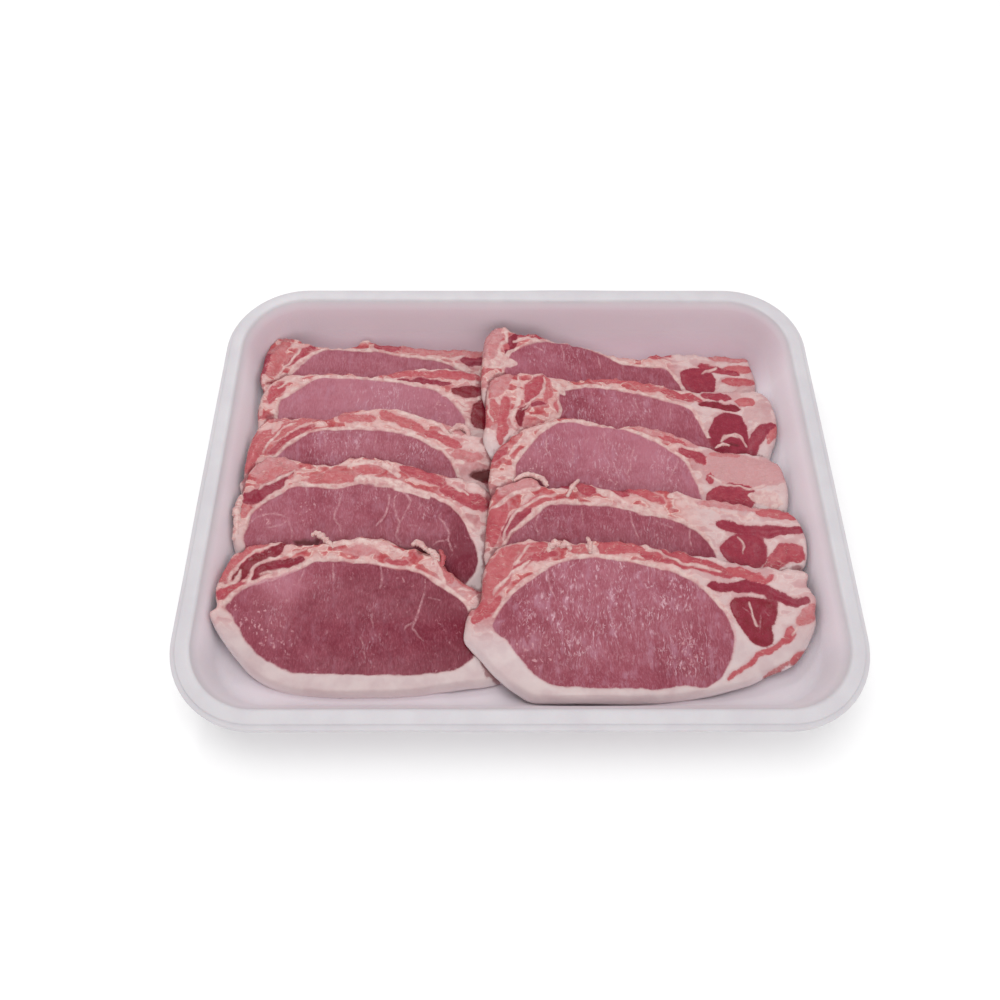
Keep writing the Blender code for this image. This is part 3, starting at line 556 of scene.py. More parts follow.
def meat_material(name, marbling, threads_and_sheen):
    """Wet raw meat: fat, the eye, the other muscles, and the membranes between them, with painted shade and
    painted light.
    """
    n = Nodes(name)
    tone, blush, near = n.attribute("tone"), n.attribute("blush"), n.attribute("shade_and_juice")
    ragged = n.noise(1.6, 3.0, 0.6) - 0.5
    fray = ragged * 1.1 + (n.noise(0.5, 2.0) - 0.5) * 0.5
    lean_depth = n.attribute("lean") + fray
    eye = n.ease(n.attribute("eye") + fray * 0.7, -0.55, 0.45)
    lean = n.ease(lean_depth, -0.45, 0.35)
    seam = n.ease(n.attribute("seam") + fray * 0.8, -0.55, 0.35)
    vein = n.ease(n.attribute("vein") + fray * 0.9, -0.4, 0.5)
    vein = vein * n.ease(n.noise(2.2, 2.0), 0.35, 0.6, 0.35, 1.0)

    # fat: off-white on the cap, with painted light on its side; on the rib side torn, with pale ridges
    # between red hollows
    mottle = n.noise(9.0, 3.0, 0.55)
    patch = n.noise(3.2, 3.0, 0.6)
    streak = n.noise(1.7, 3.0, 0.6, n.stretched((0.4, 1.0, 1.0), 0.0, 2.0), 0.7)
    fat = n.mix(n.ease(mottle, 0.35, 0.7), *CAP_FAT)
    torn = n.ramp(n.attribute("torn") + (streak - 0.5) * 0.7, RIB_TONES)
    fat = n.mix(n.ease(patch, 0.25, 0.6, 0.7, 1.0) * blush, fat, torn)
    bleed = n.most(n.ease(lean_depth, -1.5, 0.0), n.ease(n.attribute("eye"), -1.4, 0.0))
    fat = n.mix(bleed * n.ease(blush, 0.0, 1.0, 0.3, 0.6), fat, BLED_FAT)
    # painted light: the rounded side of the fat cap is drawn brighter where it turns from the light
    fat = n.mix(n.attribute("edge") * 0.8, fat, CAP_PAINTED_LIGHT)

    # eye: tone by place, clouded, with a painted sheen, and streaks, threads and flecks of marbling across
    # the cut
    grain = n.noise(0.6, 3.0, 0.65, n.stretched((1.0, 0.25, 1.0), 0.2, 1.5))
    clouded = tone + (mottle - 0.5) * 0.6 + (patch - 0.5) * 0.35
    flesh = n.ramp(clouded - n.ease(grain, 0.4, 0.8, -0.08, 0.35), EYE_TONES)
    drawn = n.stretched((1.0, 0.2, 1.0), 0.0, 4.0)
    # painted sheen: mauve patches of reflected light, weaker where the eye is dark
    sheen = n.ease(n.noise(2.4, 3.0, 0.55, drawn), 0.42, 0.68) * n.ease(n.noise(8.0, 3.0), 0.42, 0.62)
    sheen = sheen * n.ease(tone, 1.0, 0.55, 0.15, 1.0)
    flesh = n.mix(sheen * (0.5 * threads_and_sheen), flesh, SHEEN)
    comb = n.ease(n.noise(0.85, 3.0, 0.6, drawn), 0.51, 0.7) * n.ease(n.noise(5.0, 2.0), 0.36, 0.6)
    comb = comb * n.ease(n.attribute("comb"), 0.0, 1.0, 0.25, 1.0)
    flesh = n.mix(comb * (0.9 * threads_and_sheen), flesh, STROKE)
    thread = n.noise(1.9, 2.5, 0.5, n.stretched((1.0, 0.3, 1.0), 0.1, 4.0, 6.0), 0.3)
    broken = n.ease(n.noise(2.4, 2.0), 0.42, 0.62) * n.ease(n.noise(7.0, 2.0), 0.42, 0.58)
    thread = n.ease(abs(thread - 0.5), 0.035, 0.0) * broken * n.attribute("comb")
    flesh = n.mix(thread * (0.7 * threads_and_sheen), flesh, THREAD)
    speck = n.ease(n.cells(2.1, n.stretched((1.0, 0.6, 1.0), 0.3, 5.0, 3.0)), 0.36, 0.08)
    few = n.ease(n.noise(5.0, 1.0), 0.56, 0.66, 0.0, marbling)
    flesh = n.mix(speck * n.most(few, n.attribute("fleck")), flesh, SPECK)

    # the other muscles: coarse bundles with thin membranes, each in its own tone
    muscle = n.ramp((tone + (patch - 0.5) * 0.4) * (1.0 / LEAN_SPAN), LEAN_TONES)
    loose = n.ease(tone, 0.85, 0.5)
    muscle = n.mix(n.ease(streak, 0.45, 0.75, 0.0, 0.28) * loose, muscle, BUNDLE)
    strand = n.noise(2.8, 2.0, 0.5, n.stretched((0.35, 1.0, 1.0), 0.15, 3.0, 5.0))
    strand = n.ease(abs(strand - 0.5), 0.03, 0.0) * loose * n.ease(n.noise(4.0, 1.0), 0.4, 0.6)
    muscle = n.mix(strand * 0.45, muscle, STRAND)

    colour = n.mix(eye, n.mix(lean, fat, muscle), flesh)
    colour = n.mix(seam * 0.9, colour, n.mix(n.ease(patch, 0.35, 0.7), *MEMBRANE))
    colour = n.mix(vein * 0.75, colour, VEIN)
    # painted shade, with some pooled juice, where the next slice lies on this one, and painted shade in
    # open pockets
    pooled_shade = near + ragged * 0.8 + (n.noise(7.0, 1.0) - 0.5) * 2.2
    colour = n.mix(n.ease(pooled_shade, 0.35, 0.9) * n.ease(near, 0.05, 0.3) * 0.7, colour, SHADE_AND_JUICE_RED)
    pocket_shade = n.ease(n.attribute("pocket_shade") + fray, -1.0, 1.0)
    colour = n.mix(pocket_shade * 0.8, colour, POCKET_SHADE)

    wet = n.most(blush, lean) * (1.0 - eye)
    rough = n.ease(n.noise(1.4, 2.0), 0.3, 0.7, 0.32, 0.48) - wet * 0.15
    height = (grain * 0.5 + comb * 0.35) * n.most(eye, lean) + patch * 0.5 + (seam + vein) * 0.3
    height = height + (streak + strand) * (wet * 0.6)
    n.set(Base_Color=colour, Roughness=n.most(rough, pocket_shade * 0.6), Normal=n.bump(height, 0.6, 0.4))
    n.set(Subsurface_Weight=0.08, Subsurface_Radius=(1.0, 0.4, 0.3), Subsurface_Scale=0.0015)
    n.set(IOR=1.4, Specular_IOR_Level=0.35, Coat_Weight=0.1, Coat_Roughness=0.1, Coat_IOR=1.3)
    return n.material


FOAM_SKIN = (seen(220, 216, 220), seen(215, 210, 215))
# painted light on the inside of the tray
FOAM_PAINTED_LIGHT = (0.90, 0.86, 0.91)
# painted pink light reflected from the meat, and painted shade at the back
FOAM_BOUNCE_AND_SHADE = (0.52, 0.37, 0.42)
FOAM_CELL = seen(190, 180, 186)


def foam_material():
    """Expanded foam: satin skin, faint cells, painted light inside, painted pink light reflected from the
    meat, and painted shade at the back.
    """
    n = Nodes("foam_white")
    cell = n.cells(0.9)
    cloud = n.noise(14.0, 3.0)
    white = n.mix(n.ease(cloud, 0.3, 0.7), *FOAM_SKIN)
    # painted light, brightening the inside walls and floor
    white = n.mix(n.attribute("inner"), white, FOAM_PAINTED_LIGHT)
    # painted pink light reflected from the meat, and painted shade on the back wall and floor
    white = n.mix(n.attribute("blush"), white, FOAM_BOUNCE_AND_SHADE)
    white = n.mix(n.ease(cell, 0.45, 0.05) * 0.05, white, FOAM_CELL)
    n.set(Base_Color=white, Roughness=n.ease(cloud, 0.3, 0.7, 0.42, 0.55), IOR=1.4)
    n.set(Normal=n.bump(cell * 0.6 + cloud, 0.25, 0.25), Subsurface_Weight=0.08, Subsurface_Scale=0.002)
    return n.material


# ---- a slice's height fields -----------------------------------------------------------
def blurred(values, weight, passes):
    """Weighted blur by repeated three-point averages."""
    pair = [values * weight, weight.astype(float)]
    for _ in range(passes):
        for k in (0, 1):
            field = np.pad(pair[k], 1, mode="edge")
            field = 0.25 * field[:-2] + 0.5 * field[1:-1] + 0.25 * field[2:]
            pair[k] = 0.25 * field[:, :-2] + 0.5 * field[:, 1:-1] + 0.25 * field[:, 2:]
    return pair[0] / np.maximum(pair[1], 1e-12), pair[1]


class Field:
    """Smooth heights of one side of a CAD solid over the plan, carried on past its border."""
    MARGIN = 8.0
    STEEP = 0.62

    def __init__(self, tree, low, high, from_above):
        self.corner = low[:2] - self.MARGIN
        spans = np.ceil((high[:2] - low[:2] + 2 * self.MARGIN) / FIELD_STEP).astype(int) + 1
        heights = np.zeros((spans[1], spans[0]))
        hit = np.zeros_like(heights)
        start, way = (high[2] + 5.0, -1.0) if from_above else (low[2] - 5.0, 1.0)
        for row in range(spans[1]):
            for column in range(spans[0]):
                x, y = self.corner + FIELD_STEP * np.array((column, row))
                place, normal, _, _ = tree.ray_cast(Vector((x, y, start)) * MM, Vector((0, 0, way)))
                if place is not None and abs(normal.z) > self.STEEP:
                    heights[row, column] = place.z / MM
                    hit[row, column] = 1.0
        near, near_weight = blurred(heights, hit, 14)
        far, _ = blurred(near, (near_weight > 0.3).astype(float), 160)
        trust = smooth(near_weight, 0.15, 0.5)
        self.heights = near * trust + far * (1.0 - trust)

    def __call__(self, places):
        at = (places - self.corner) / FIELD_STEP
        limit = np.array(self.heights.shape[::-1]) - 1.001
        at = np.clip(at, 0.0, limit)
        c, r = at.astype(int).T
        u, v = (at - at.astype(int)).T
        field = self.heights
        return ((field[r, c] * (1 - u) + field[r, c + 1] * u) * (1 - v)
                + (field[r + 1, c] * (1 - u) + field[r + 1, c + 1] * u) * v)


# ---- slices ----------------------------------------------------------------------------
def lattice(outline, step, room, keep=None):
    """Staggered points inside an outline, at least room from it."""
    rise = step * math.sqrt(0.75)
    low, high = outline.min(axis=0), outline.max(axis=0)
    rows = np.arange(math.floor(low[1] / rise), math.ceil(high[1] / rise) + 1)
    columns = np.arange(math.floor(low[0] / step), math.ceil(high[0] / step) + 1)
    c, r = np.meshgrid(columns, rows)
    places = np.c_[((c + 0.5 * (r % 2)) * step).ravel(), (r * rise).ravel()]
    places = places[depth_in(outline, places, room + step) > room]
    return places if keep is None else places[keep(places)]


def apart(places, least):
    """The places without those that lie closer than this to an earlier one."""
    kept = []
    taken = {}
    for index, place in enumerate(places):
        cell = tuple(np.floor(place / least).astype(int))
        around = [taken.get((cell[0] + i, cell[1] + j), ()) for i in (-1, 0, 1) for j in (-1, 0, 1)]
        if all(np.hypot(*(place - places[other])) >= least for group in around for other in group):
            taken.setdefault(cell, []).append(index)
            kept.append(index)
    return places[kept]


def triangles_within(outline, extra):
    """Delaunay triangles of the outline's points and the extra ones, inside the outline."""
    flat = np.vstack((outline, extra))
    count = len(outline)
    ring = [(index, (index + 1) % count) for index in range(count)]
    flat_points, _, faces, *_ = delaunay_2d_cdt([Vector(p) for p in flat], ring, [], 1, 1e-5)
    assert len(flat_points) == len(flat), "two points of a face coincide"
    return flat, [tuple(face) for face in faces]


class Cut:
    """The plan of one slice: its outline and the distances to what its face shows."""

    def __init__(self, node, parts):
        low, high = (np.array(corner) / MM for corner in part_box(node))
        self.low, self.high = low, high
        size = high[:2] - low[:2]
        rib = points(parts["outline"])
        if node.endswith("5"):
            anchors = rib
        else:
            front = np.array(HIDDEN_FRONT) * size
            on_round = (front[:, 0] < 0.5 * size[0]) | (front[:, 1] < rib[-1, 1] - 6.0)
            anchors = np.vstack((rib, front[on_round]))
        self.origin = low[:2]
        anchors = anchors + self.origin
        curve = through(anchors, True)
        if area(curve) < 0:
            curve = curve[::-1]
        self.plan = evenly(curve, BORDER_STEP)
        self.parts = parts
        self.clean = 0.6 if "right" in node else 0.3
        self.above = []
        self.beneath = []
        self.seed = NOISE_SEED + sum(map(ord, node))
        self.outline = self.frayed(self.plan)

    def noise(self, number, size, places):
        return Noise(self.seed + number, size)(places)

    def frayed(self, outline):
        """The outline with a torn rib side and a slightly uneven fat cap."""
        normal = inwards(outline)
        torn = smooth(-normal[:, 1], 0.1, 0.8)
        wave = self.noise(0, 7.0, outline) * 0.5
        ragged = self.noise(1, 3.0, outline) * 0.85 + self.noise(9, 1.7, outline) * 0.35
        return outline + normal * (0.4 * wave + torn * (0.8 * wave + ragged))[:, None]

    def shape(self, text, closed):
        return through(points(text) + self.origin, closed, 6)

    def measure(self, places):
        """Depths into the tissues, and the tone, at some places of the face."""
        parts = self.parts
        at = places - self.origin
        size = self.high - self.low
        share = at[:, 1] / size[1]
        push = np.c_[self.noise(11, 5.5, places), self.noise(12, 5.5, places)]
        twist = np.c_[self.noise(13, 2.3, places), self.noise(14, 2.3, places)]
        bent = places + WARP * (push + 0.5 * twist)
        eased = places + 0.3 * WARP * (push + twist)
        found = {"eye": depth_in(self.shape(parts["eye"], True), eased, REACH)}
        spots = points(parts["tones"])
        gaps = np.hypot(places[:, None, 0] - spots[:, 0] - self.origin[0],
                        places[:, None, 1] - spots[:, 1] - self.origin[1])
        weight = 1.0 / (gaps + 3.0) ** 3
        tone = (weight * spots[:, 2]).sum(axis=1) / weight.sum(axis=1)
        lean = np.full(len(places), -REACH)
        shapes = []
        for text in listed(parts, "muscles"):
            head, body = text.split(" ", 1)
            shapes.append((float(head), depth_in(self.shape(body, True), eased, REACH)))
        for text in listed(parts, "strips"):
            head, width, body = text.split(" ", 2)
            shapes.append((float(head), depth_in_line(self.shape(body, False), float(width), bent)))
        lean_tone = np.zeros(len(places))
        for head, depth in shapes:
            closer = depth > lean
            lean[closer] = depth[closer]
            lean_tone[closer] = head
        in_lean = (lean > -1.5) & (found["eye"] < 0.0)
        found["tone"] = np.where(in_lean, lean_tone, tone)
        found["lean"] = lean
        lean[found["eye"] < 0.0] += STRIP_SPREAD
        for key, ends, where in (("seam", 0.45, bent), ("vein", 0.3, eased), ("pocket_shade", 0.2, bent)):
            depth = np.full(len(places), -REACH)
            for text in listed(parts, key + "s"):
                width, body = text.split(" ", 1)
                line = self.shape(body, False)
                depth = np.maximum(depth, depth_in_line(line, float(width), where, ends))
            found[key] = depth
        for key in ("fleck", "comb"):
            found[key] = np.zeros(len(places))
            for x, y, radius in points(parts.get(key + "s", "")):
                gap = np.hypot(at[:, 0] - x, at[:, 1] - y) / radius
                found[key] = np.maximum(found[key], smooth(-gap, -1.4, -0.5))
        skin = 0.5 * SKIN_WIDTH - np.abs(found["eye"] + 0.6 * SKIN_WIDTH)
        skin += 0.5 * self.noise(7, 6.0, places)
        found["seam"] = np.where(share > 0.5, np.maximum(found["seam"], skin), found["seam"])
        found["blush"] = smooth(share, 0.3, 0.62) * (1.0 - self.clean * smooth(at[:, 0], 92.0, 108.0))
        flow = bent * (0.5, 1.0)
        torn = 0.62 * self.noise(16, 3.4, flow) + 0.38 * self.noise(17, 1.6, flow)
        found["torn"] = smooth(torn, -0.45, 0.45)
        lean += found["blush"] * 0.7 * self.noise(15, 3.0, flow)
        # painted shade, with some pooled juice, along the outlines of the slices that lie above
        gap = np.full(len(places), 1e3)
        for other in self.above:
            gap = np.minimum(gap, -depth_in(other.outline, places, 6.0))
        found["shade_and_juice"] = np.exp(-np.abs(gap) / SHADE_AND_JUICE_WIDTH)
        return found


def relief(cut, places, found):
    """Height of the cut face above the smooth surface, in millimetres."""
    eye = smooth(found["eye"], -0.6, 0.6)
    lean = smooth(found["lean"], -0.5, 0.7)
    seam = smooth(found["seam"], -0.6, 0.4)
    crown = smooth(found["lean"], 0.0, 3.0) * (1.0 - eye)
    flesh = np.maximum(eye, lean)
    torn = found["blush"] * (1.0 - eye)
    ridge = np.exp(-((found["torn"] - 0.5) / 0.17) ** 2)
    height = -0.3 * flesh + 0.5 * crown + 0.25 * seam * flesh
    height -= 0.18 * np.exp(-(found["eye"] / 0.8) ** 2)
    height -= 0.1 * np.exp(-(found["lean"] / 0.6) ** 2) * (1 - eye)
    height += 0.10 * smooth(found["vein"], -0.5, 0.4)
    height += 0.16 * cut.noise(2, 11.0, places) + 0.07 * cut.noise(3, 3.1, places)
    height += torn * (0.45 * ridge * (1.0 - 0.6 * lean) + 0.45 * (found["torn"] - 0.5))
    height += torn * (0.45 * cut.noise(4, 4.6, places) + 0.25 * cut.noise(5, 1.9, places))
    return height


def added(name, data):
    """A new object in the scene."""
    made = bpy.data.objects.new(name, data)
    bpy.context.scene.collection.objects.link(made)
    return made


def rows_of_quads(rows, count):
    """Faces between rings of corners that follow one another."""
    rings = [(row * count + this, row * count + (this + 1) % count)
             for row in range(rows - 1) for this in range(count)]
    return [(a, b, b + count, a + count) for a, b in rings]


def build_mesh(name, corners, faces, values, material):
    mesh = bpy.data.meshes.new(name)
    mesh.from_pydata((corners * MM).tolist(), [], faces)
    mesh.validate()
    for key, numbers in values.items():
        attribute = mesh.attributes.new(key, "FLOAT", "POINT")
        attribute.data.foreach_set("value", numbers.astype(np.float32))
    mesh.shade_smooth()
    mesh.materials.append(material)
    return added(name, mesh)


def hang(cut, places, bottom):
    """How far the free front edge of a slice hangs down towards the floor of the tray."""
    at = places - cut.origin
    free = np.full(len(places), 1e3)
    for other in cut.beneath:
        free = np.minimum(free, -depth_in(other.plan, places, 14.0))
    share = at[:, 1] / (cut.high[1] - cut.low[1])
    sag = np.clip(bottom - FLOOR, 0.0, 2.6) * smooth(free, 1.0, 12.0) * (1.0 - smooth(share, 0.12, 0.4))
    return sag * (1.0 - smooth(at[:, 0], 92.0, 116.0))


def make_slice(node, cut, material):
    """A dense closed mesh of one slice that stands for its CAD node."""
    solid = BVHTree.FromObject(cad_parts[node], bpy.context.evaluated_depsgraph_get())
    upper = Field(solid, cut.low, cut.high, True)
    under = Field(solid, cut.low, cut.high, False)
    cut.lid = upper
    outline = cut.outline
    normal = inwards(outline)

    def shown(places):
        return np.all([depth_in(other.plan, places, COVER_MARGIN + 1.0) < COVER_MARGIN
                       for other in cut.above] or [np.ones(len(places), bool)], axis=0)

    rings = np.vstack([outline + normal * inset for inset in BORDER_RINGS])
    rings = apart(rings[depth_in(outline, rings) > 0.12], 0.2)
    room = BORDER_RINGS[-1] + 0.4
    fine = lattice(outline, FINE, room, shown)
    coarse = lattice(outline, COARSE, room, lambda places: ~shown(places))
    top, top_faces = triangles_within(outline, np.vstack((rings, fine, coarse)))
    inner = outline[::2] + normal[::2] * UNDER_RADIUS
    inner = apart(inner[depth_in(outline, inner) > 0.8 * UNDER_RADIUS], 0.4)
    low, low_faces = triangles_within(outline, np.vstack((inner, lattice(outline, COARSE, 3.0))))

    found = cut.measure(top)
    count = len(outline)

    def levels(places):
        bottom = under(places) - SEATING
        sag = hang(cut, places, bottom)
        return bottom - sag, upper(places) - sag

    def rounded(places, radius, fall=ROUND_FALL):
        share = np.clip(depth_in(outline, places) / radius, 0.0, 1.0)
        share[:count] = 0.0
        return (1.0 - (1.0 - share) ** 2) ** fall

    bottom, lid = levels(top)
    side = bottom + SIDE_BASE * (lid - bottom)
    share = (top[:, 1] - cut.low[1]) / (cut.high[1] - cut.low[1])
    at_rib = smooth(share, 0.35, 0.6)
    radius = CAP_RADIUS + (EDGE_RADIUS - CAP_RADIUS) * at_rib
    profile = rounded(top, radius, CAP_FALL + (ROUND_FALL - CAP_FALL) * at_rib)
    heights = side + (lid + relief(cut, top, found) - side) * profile
    # where the fat cap rounds off at its side, to be brightened with painted light
    found["edge"] = (1.0 - profile) * (1.0 - smooth(share, 0.3, 0.5))
    bottom, lid = levels(low)
    side = bottom + SIDE_BASE * (lid - bottom)
    low_heights = side + (bottom - side) * rounded(low, UNDER_RADIUS)

    corners = np.vstack((np.c_[top, heights], np.c_[low, low_heights][count:]))
    shift = len(top) - count
    faces = list(top_faces)
    faces += [tuple(i if i < count else i + shift for i in face[::-1]) for face in low_faces]
    under_found = cut.measure(low[count:])
    under_found["edge"] = np.zeros(len(low) - count)
    values = {key: np.r_[found[key], under_found[key]] for key in found}
    piece = build_mesh(node + "_cut", corners, faces, values, material)
    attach(piece, "root")
    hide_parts(node)


def scrap(seed, cut, radius, red, path):
    """Corners, faces and values of a lumpy strand of fat or flesh that lies on a slice."""
    line = through(points(path), False, 6)
    line[:, :2] += cut.origin
    line[:, 2] += cut.lid(line[:, :2])
    generator = np.random.default_rng(seed)
    along = np.gradient(line, axis=0)
    along /= np.linalg.norm(along, axis=1)[:, None]
    across = np.cross(along, (0.0, 0.0, 1.0))
    across /= np.linalg.norm(across, axis=1)[:, None]
    upward = np.cross(across, along)
    share = np.linspace(0.0, 1.0, len(line))
    girth = radius * (0.35 + 0.65 * np.sqrt(np.sin(np.pi * np.clip(share, 0.04, 0.96))))
    turns = np.linspace(0.0, 2.0 * np.pi, 12, endpoint=False)
    uneven = 1.0 + 0.4 * generator.uniform(-1.0, 1.0, (len(line), len(turns)))
    uneven = 0.5 * uneven + 0.25 * (np.roll(uneven, 1, axis=1) + np.roll(uneven, -1, axis=1))
    girth *= 1.0 + 0.2 * generator.uniform(-1.0, 1.0, len(line))
    ring = (np.cos(turns)[None, :, None] * across[:, None, :]
            + np.sin(turns)[None, :, None] * upward[:, None, :])
    corners = line[:, None, :] + (girth[:, None] * uneven)[:, :, None] * ring
    corners = corners.reshape(-1, 3)
    count = len(turns)
    faces = [tuple(range(count))[::-1], tuple(range(len(corners) - count, len(corners)))]
    faces += rows_of_quads(len(line), count)
    constants = dict(eye=-REACH, lean=2.0 * red - 1.4, tone=0.35, seam=-REACH, vein=-REACH, blush=0.8,
                     torn=0.54, pocket_shade=-REACH, fleck=0.0, comb=0.0, edge=0.0, shade_and_juice=0.0)
    values = {key: np.full(len(corners), value) for key, value in constants.items()}
    values["torn"] += 0.35 * (uneven.ravel() - 1.0)
    return corners, faces, values


def make_scraps(cuts):
    """The loose bits on the slices, in one piece."""
    corners, faces, values = [], [], []
    for index, (node, radius, red, path) in enumerate(SCRAPS):
        places, sides, found = scrap(NOISE_SEED + index, cuts[node], radius, red, path)
        start = sum(map(len, corners))
        faces += [tuple(corner + start for corner in side) for side in sides]
        corners.append(places)
        values.append(found)
    values = {key: np.concatenate([found[key] for found in values]) for key in values[0]}
    material = meat_material("scrap_meat", 0.0, 0.0)
    piece = build_mesh("meat_scraps", np.vstack(corners), faces, values, material)
    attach(piece, "root")


def make_slices():
    cuts = {node: Cut(node, parts) for node, parts in SLICES.items()}
    order = list(cuts.values())
    for index, (node, cut) in enumerate(cuts.items()):
        cut.above = order[index + 1:]
        cut.beneath = order[:index]
        marbling, threads_and_sheen = LOOKS.get(node, PLAIN_LOOK)
        make_slice(node, cut, meat_material(node + "_meat", marbling, threads_and_sheen))
    return cuts


# ---- tray ------------------------------------------------------------------------------
def arc(centre, radius, first, last, steps):
    turns = np.linspace(first, last, steps + 1)
    return [(centre[0] + radius * math.cos(turn), centre[1] + radius * math.sin(turn)) for turn in turns]


def tray_section(height):
    """Offset from the cavity's edge and height round the foam, from the floor over the rim."""
    lean = math.tan(WALL_LEAN)
    quarter = math.pi / 2

    def wall(z):
        return -(height - z) * lean

    foot = wall(FOAM) + FOOT_RADIUS * lean - FOOT_RADIUS / math.cos(WALL_LEAN)
    skin = FOAM / math.cos(WALL_LEAN)
    band = height - RIM_FALL
    lip_top = band - STEP_DEPTH
    lip_bottom = lip_top - LIP_HEIGHT
    under_band = band - FOAM
    axis = (foot, FOAM + FOOT_RADIUS)
    edge_axis = (RIM_ROUNDING / math.tan(math.pi / 4 + WALL_LEAN / 2) + RIM_ROUNDING * lean,
                 height - RIM_ROUNDING)
    section = arc(axis, FOOT_RADIUS, -quarter, -WALL_LEAN, 12)
    section += [(wall(z), z) for z in np.linspace(section[-1][1], edge_axis[1], 5)[1:-1]]
    section += arc(edge_axis, RIM_ROUNDING, math.pi - WALL_LEAN, quarter, 6)
    section += [(0.6 * BAND_END, height - 0.1)]
    section += arc((BAND_END - 0.5, band - 0.5), 0.5, quarter, 0.0, 3)
    section += arc((BAND_END + 0.5, lip_top + 0.35), 0.35, math.pi, 1.5 * math.pi, 2)
    section += arc((RIM_WIDTH - 0.7, lip_top - 0.7), 0.7, quarter, 0.0, 4)
    section += arc((RIM_WIDTH - 0.7, lip_bottom + 0.7), 0.7, 0.0, -quarter, 4)
    section += [(RIM_WIDTH - LIP_THICKNESS, lip_bottom)]
    section += arc((RIM_WIDTH - LIP_THICKNESS - 0.7, under_band - 0.7), 0.7, 0.0, quarter, 3)
    section += [(skin + 1.0, under_band), (wall(under_band - 2.0) + skin, under_band - 2.0)]
    section += arc(axis, FOOT_RADIUS + FOAM, -WALL_LEAN, -quarter, 10)
    return section


def rounded_ring(half_x, half_y, radius, offset):
    """Points of a rounded rectangle, counterclockwise, its straight sides divided too."""
    found = []
    for quarter, (side_x, side_y) in enumerate(((1, 1), (-1, 1), (-1, -1), (1, -1))):
        for step in range(CORNER_STEPS + 1):
            turn = (quarter + step / CORNER_STEPS) * math.pi / 2
            found.append((side_x * (half_x - radius) + (radius + offset) * math.cos(turn),
                          side_y * (half_y - radius) + (radius + offset) * math.sin(turn)))
        straight = 2 * (half_x - radius) if quarter % 2 == 0 else 2 * (half_y - radius)
        pieces = int(straight / SIDE_SPACING)
        ahead = ((-1, 0), (0, -1), (1, 0), (0, 1))[quarter]
        last = found[-1]
        for step in range(1, pieces):
            along = straight * step / pieces
            found.append((last[0] + ahead[0] * along, last[1] + ahead[1] * along))
    return np.array(found)


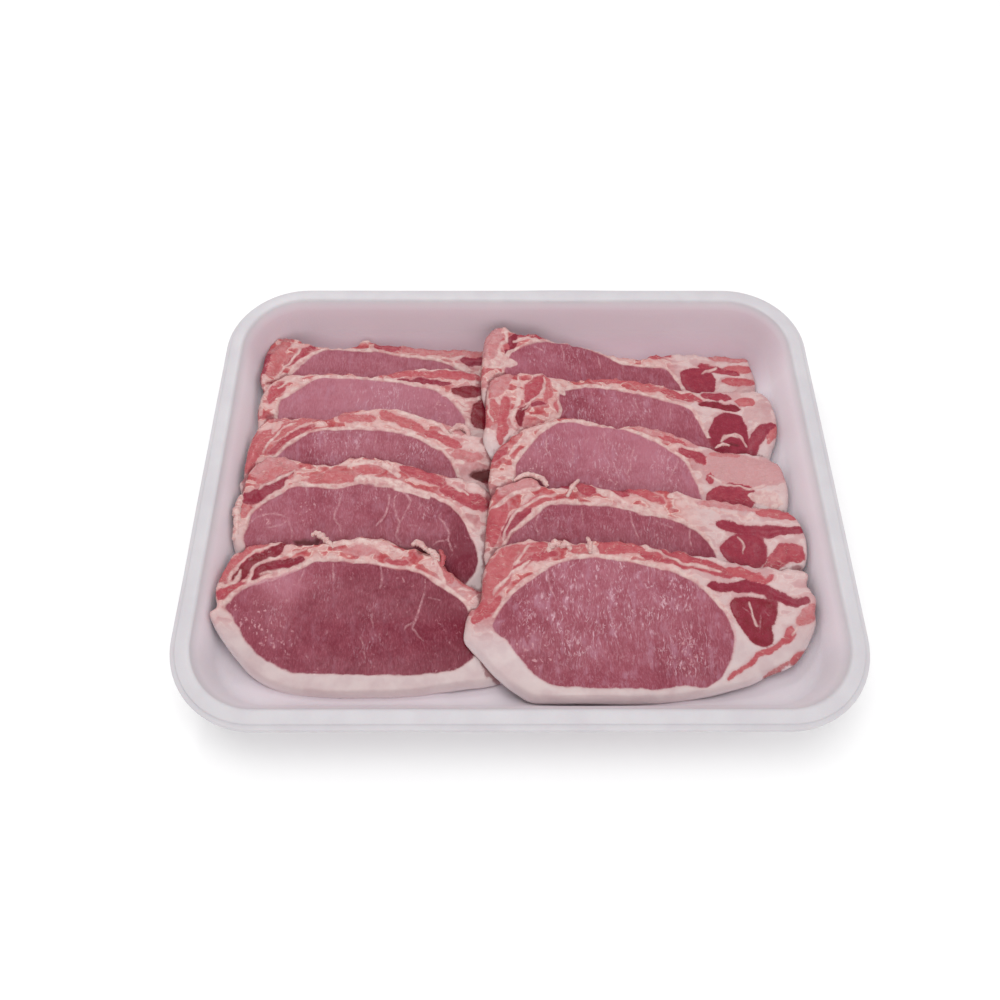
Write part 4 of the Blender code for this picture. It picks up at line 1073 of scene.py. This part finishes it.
def make_tray(cuts):
    low, high = (np.array(corner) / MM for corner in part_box("tray"))
    half_x, half_y = 0.5 * (high - low)[:2] - RIM_WIDTH
    radius = TRAY_CORNER - RIM_WIDTH
    height = high[2] - low[2]
    section = tray_section(height)
    rings = []
    for shrink in np.linspace(0.06, 1.0, 14, endpoint=False):
        ring = rounded_ring(half_x, half_y, radius, section[0][0]) * shrink
        rings.append(np.c_[ring, np.full(len(ring), section[0][1])])
    for offset, z in section:
        ring = rounded_ring(half_x, half_y, radius, offset)
        rings.append(np.c_[ring, np.full(len(ring), z)])
    count = len(rings[0])
    corners = np.vstack(rings)
    faces = [tuple(range(count))]
    faces += [(a, d, c, b) for a, b, c, d in rows_of_quads(len(rings), count)]
    last = (len(rings) - 1) * count
    faces.append(tuple(range(last + count - 1, last - 1, -1)))

    # the foam isn't quite true: a slow waviness of less than half a millimetre
    wave = Noise(NOISE_SEED + 50, 38.0)(corners[:, :2])
    lively = smooth(corners[:, 2], 0.5, 6.0) * (1.0 - smooth(corners[:, 2], height - 1.0, height))
    corners[:, 2] += 0.35 * wave * lively

    # painted pink light reflected from the meat near it, and painted shade on the wall and floor behind it
    blush = np.zeros(len(corners))
    for cut in cuts.values():
        gap = -depth_in(cut.plan, corners[:, :2], 40.0)
        blush = np.maximum(blush, np.exp(-np.maximum(gap, 0.0) / 14.0))
    low_down = 1.0 - smooth(corners[:, 2], 4.0, 14.0)
    behind = smooth(corners[:, 1], 40.0, 100.0) * (0.7 + 0.3 * low_down)
    blush = np.maximum(0.45 * blush, behind)
    wall = 1.0 - smooth(corners[:, 2], height - 4.0, height - 0.5)
    within = depth_in(rounded_ring(half_x, half_y, radius, 0.5), corners[:, :2]) > 0.0
    blush *= wall * within
    # painted light on the inside walls and floor: half as strong at the front, and none low down at the
    # back
    inner = wall * within * (1.0 - 0.5 * smooth(-corners[:, 1], 70.0, 92.0))
    inner *= 1.0 - smooth(corners[:, 1], 60.0, 90.0) * low_down
    values = {"blush": blush, "inner": inner}
    piece = build_mesh("foam_tray", corners, faces, values, foam_material())
    piece.data.set_sharp_from_angle(angle=math.radians(60.0))
    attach(piece, "root")
    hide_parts("tray")


# ---- floor, light and camera -------------------------------------------------------------
def make_stage():
    mesh = bpy.data.meshes.new("floor")
    reach = FLOOR_REACH
    mesh.from_pydata([(-reach, -reach, 0), (reach, -reach, 0), (reach, reach, 0), (-reach, reach, 0)], [],
                     [(0, 1, 2, 3)])
    n = Nodes("floor_white")
    n.set(Base_Color=FLOOR_WHITE, Roughness=0.9)
    mesh.materials.append(n.material)
    added("floor", mesh)

    world = bpy.data.worlds.new("studio")
    world.use_nodes = True
    background = world.node_tree.nodes["Background"].inputs
    background["Color"].default_value = WORLD_WHITE
    background["Strength"].default_value = WORLD_STRENGTH
    bpy.context.scene.world = world
    for name, place, size, power in LAMPS:
        lamp = bpy.data.lights.new(name, "AREA")
        lamp.shape = "SQUARE"
        lamp.size = size
        lamp.energy = power
        source = added(name, lamp)
        source.location = place
        source.rotation_mode = "QUATERNION"
        source.rotation_quaternion = (-Vector(place)).to_track_quat("-Z", "Y")


def make_camera():
    """From above the front edge, looking down steeply."""
    pitch, yaw, roll = map(math.radians, CAMERA_TURNS)
    ahead = Vector((math.sin(yaw) * math.cos(pitch), math.cos(yaw) * math.cos(pitch), -math.sin(pitch)))
    level = Vector((math.cos(yaw), -math.sin(yaw), 0.0))
    upright = level.cross(ahead)
    right = math.cos(roll) * level + math.sin(roll) * upright
    up = math.cos(roll) * upright - math.sin(roll) * level
    camera = added("camera", bpy.data.cameras.new("camera"))
    camera.data.lens = CAMERA_LENS
    camera.data.sensor_width = 36.0
    camera.data.clip_start = 0.01
    turn = Matrix((right, up, -ahead)).transposed()
    camera.matrix_world = Matrix.Translation(CAMERA_PLACE) @ turn.to_4x4()
    bpy.context.scene.camera = camera


make_stage()
make_camera()
cuts = make_slices()
make_scraps(cuts)
make_tray(cuts)
bpy.context.scene.view_settings.view_transform = "Standard"
